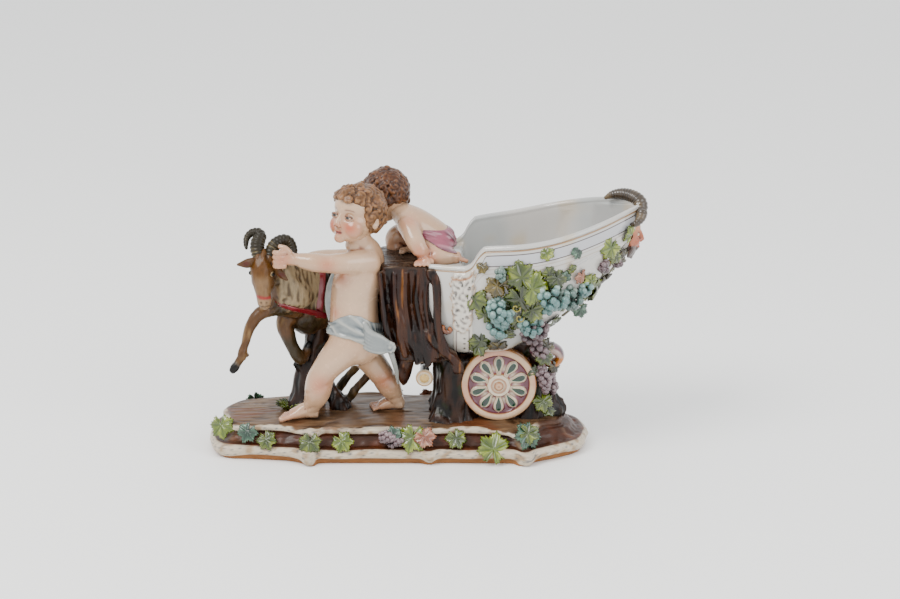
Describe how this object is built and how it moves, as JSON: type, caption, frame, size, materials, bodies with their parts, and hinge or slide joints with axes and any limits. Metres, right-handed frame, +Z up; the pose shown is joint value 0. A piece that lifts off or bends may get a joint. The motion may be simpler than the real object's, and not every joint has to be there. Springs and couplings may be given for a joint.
{
  "type": "porcelain figure group",
  "caption": "Porcelain figure group: a child leads a prancing goat before a boat-shaped chariot bowl, a second child kneels on the hide over its front, on a scrolled base.",
  "frame": {"origin": "centre of the base's flat underside", "axes": "+Z up, +X from the goat to the horned mask on the chariot's point, +Y away from the front"},
  "size_m": [0.3777, 0.128, 0.2438],
  "materials": {
    "white_glaze": "glossy white glaze with a faint blue cast",
    "flesh_enamel": "glossy flesh enamel with rosy shading",
    "hair_enamel": "glossy brown enamel, darker in the hollows",
    "goat_enamel": "streaked tan and cream enamel",
    "hide_enamel": "streaked dark brown enamel",
    "cloth_enamel": "pale grey-blue and rose enamel",
    "ground_enamel": "washed brown enamel with a bark grain",
    "leaf_enamel": "shaded green enamel",
    "grape_enamel": "turquoise and mauve enamel",
    "gilding": "worn burnished gold over glaze"
  },
  "bodies": {
    "root": {"figure_group": "white_glaze"}
  },
  "joints": []
}
